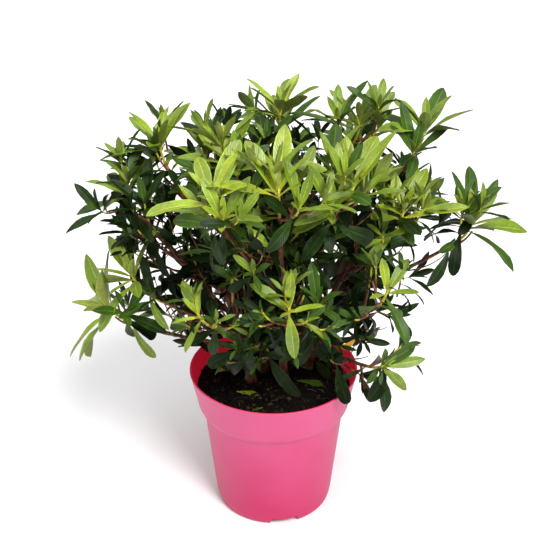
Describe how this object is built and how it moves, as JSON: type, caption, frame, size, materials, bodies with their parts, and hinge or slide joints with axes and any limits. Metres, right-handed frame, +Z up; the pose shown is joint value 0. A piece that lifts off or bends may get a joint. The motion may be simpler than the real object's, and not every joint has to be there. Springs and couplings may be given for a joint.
{
  "type": "potted azalea shrub",
  "caption": "Leafy azalea shrub without flowers: five stems with boughs and whorled foliage masses rise from soil in a round tapered nursery pot.",
  "frame": {"origin": "centre of the pot's underside, on the surface that the pot stands on", "axes": "+Z up, the plant's front towards -Y, +X to its right as seen from the front"},
  "size_m": [0.3359, 0.2989, 0.3454],
  "materials": {
    "pot": "satin",
    "soil": "matte",
    "bark": "matte",
    "foliage": "satin"
  },
  "bodies": {
    "root": {"pot": "pot", "soil": "soil", "stem_centre": "bark", "bough_crown_top_right": "bark", "bough_crown_top_left": "bark", "bough_front_right": "bark", "stem_left": "bark", "bough_side_left_upper": "bark", "bough_side_left_mid": "bark", "bough_side_left_low": "bark", "bough_back_left": "bark", "stem_front": "bark", "bough_front_left": "bark", "bough_front_low_left": "bark", "bough_front_low_centre": "bark", "stem_right": "bark", "bough_shoulder_right_front": "bark", "bough_side_right_upper": "bark", "bough_side_right_front": "bark", "bough_side_right_low": "bark", "bough_back_right": "bark", "stem_back": "bark", "bough_back_top_left": "bark", "bough_back_top_right": "bark", "bough_back_centre": "bark", "bough_back_low_left": "bark", "bough_back_low_right": "bark", "foliage_crown_top": "foliage", "foliage_crown_top_right": "foliage", "foliage_crown_top_left": "foliage", "foliage_front_right": "foliage", "foliage_shoulder_left": "foliage", "foliage_side_left_upper": "foliage", "foliage_side_left_mid": "foliage", "foliage_side_left_low": "foliage", "foliage_back_left": "foliage", "foliage_front_centre": "foliage", "foliage_front_left": "foliage", "foliage_front_low_left": "foliage", "foliage_front_low_centre": "foliage", "foliage_shoulder_right": "foliage", "foliage_shoulder_right_front": "foliage", "foliage_side_right_upper": "foliage", "foliage_side_right_front": "foliage", "foliage_side_right_low": "foliage", "foliage_back_right": "foliage", "foliage_back_top": "foliage", "foliage_back_top_left": "foliage", "foliage_back_top_right": "foliage", "foliage_back_centre": "foliage", "foliage_back_low_left": "foliage", "foliage_back_low_right": "foliage"}
  },
  "joints": []
}
